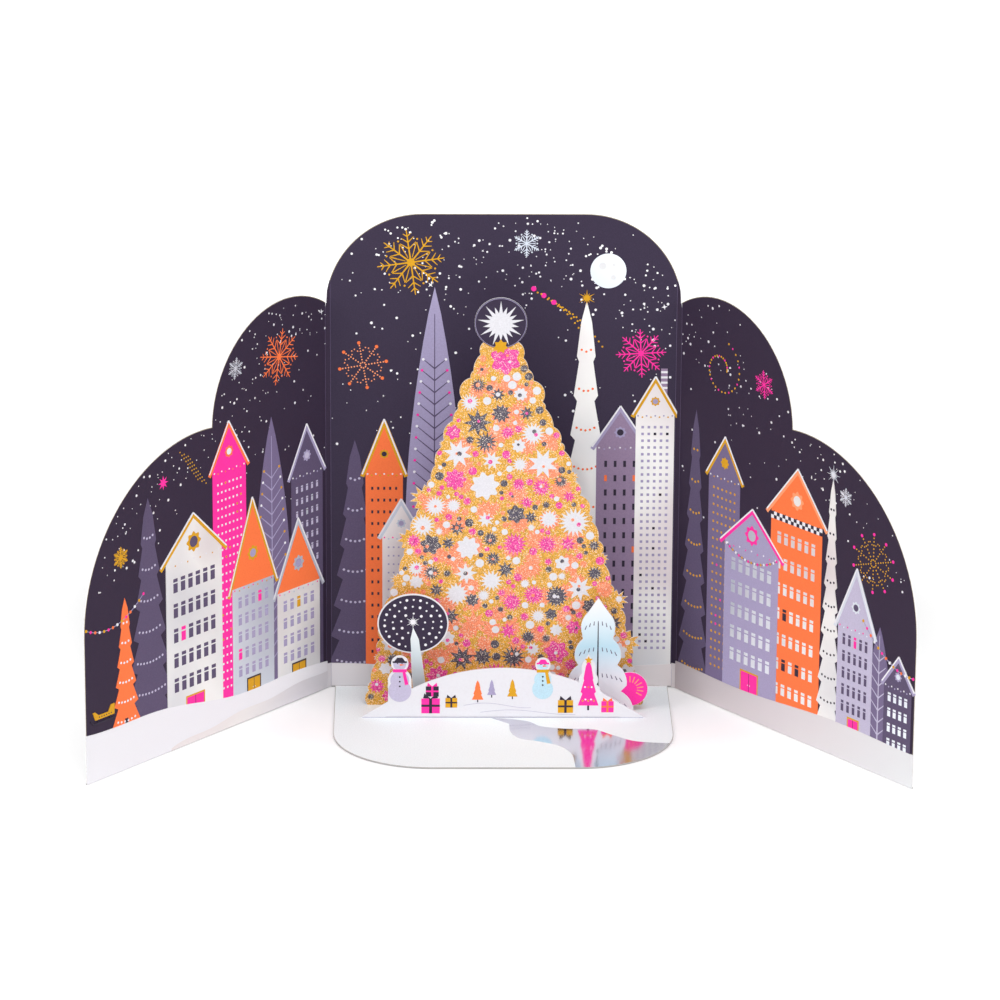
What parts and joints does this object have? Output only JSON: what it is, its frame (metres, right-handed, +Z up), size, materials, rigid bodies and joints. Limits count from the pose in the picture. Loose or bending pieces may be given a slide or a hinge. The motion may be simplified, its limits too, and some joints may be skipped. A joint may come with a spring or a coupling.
{
  "type": "pop up card",
  "caption": "Standing pop-up card: a rounded centre panel with two scalloped wings and a fold-down base that carries a die-cut paper tree and lower die-cut layers, held upright by straps.",
  "frame": {"origin": "middle of the base panel's underside, on the surface that the card stands on", "axes": "+X to the right as seen from the front, +Y to the back through the centre panel, +Z up"},
  "size_m": [0.2858, 0.1021, 0.1778],
  "materials": {
    "printed_board": "matt printed board with silver foil",
    "glitter_paper": "glittered paper",
    "layer_paper": "matt white paper",
    "strap_paper": "plain uncoated paper"
  },
  "bodies": {
    "root": {"folded_card": "printed_board", "tree_layer": "glitter_paper", "middle_layer": "layer_paper", "snow_bank": "layer_paper", "tree_strap": "strap_paper", "middle_strap": "strap_paper", "bank_strap_left": "strap_paper", "bank_strap_right": "strap_paper"}
  },
  "joints": []
}
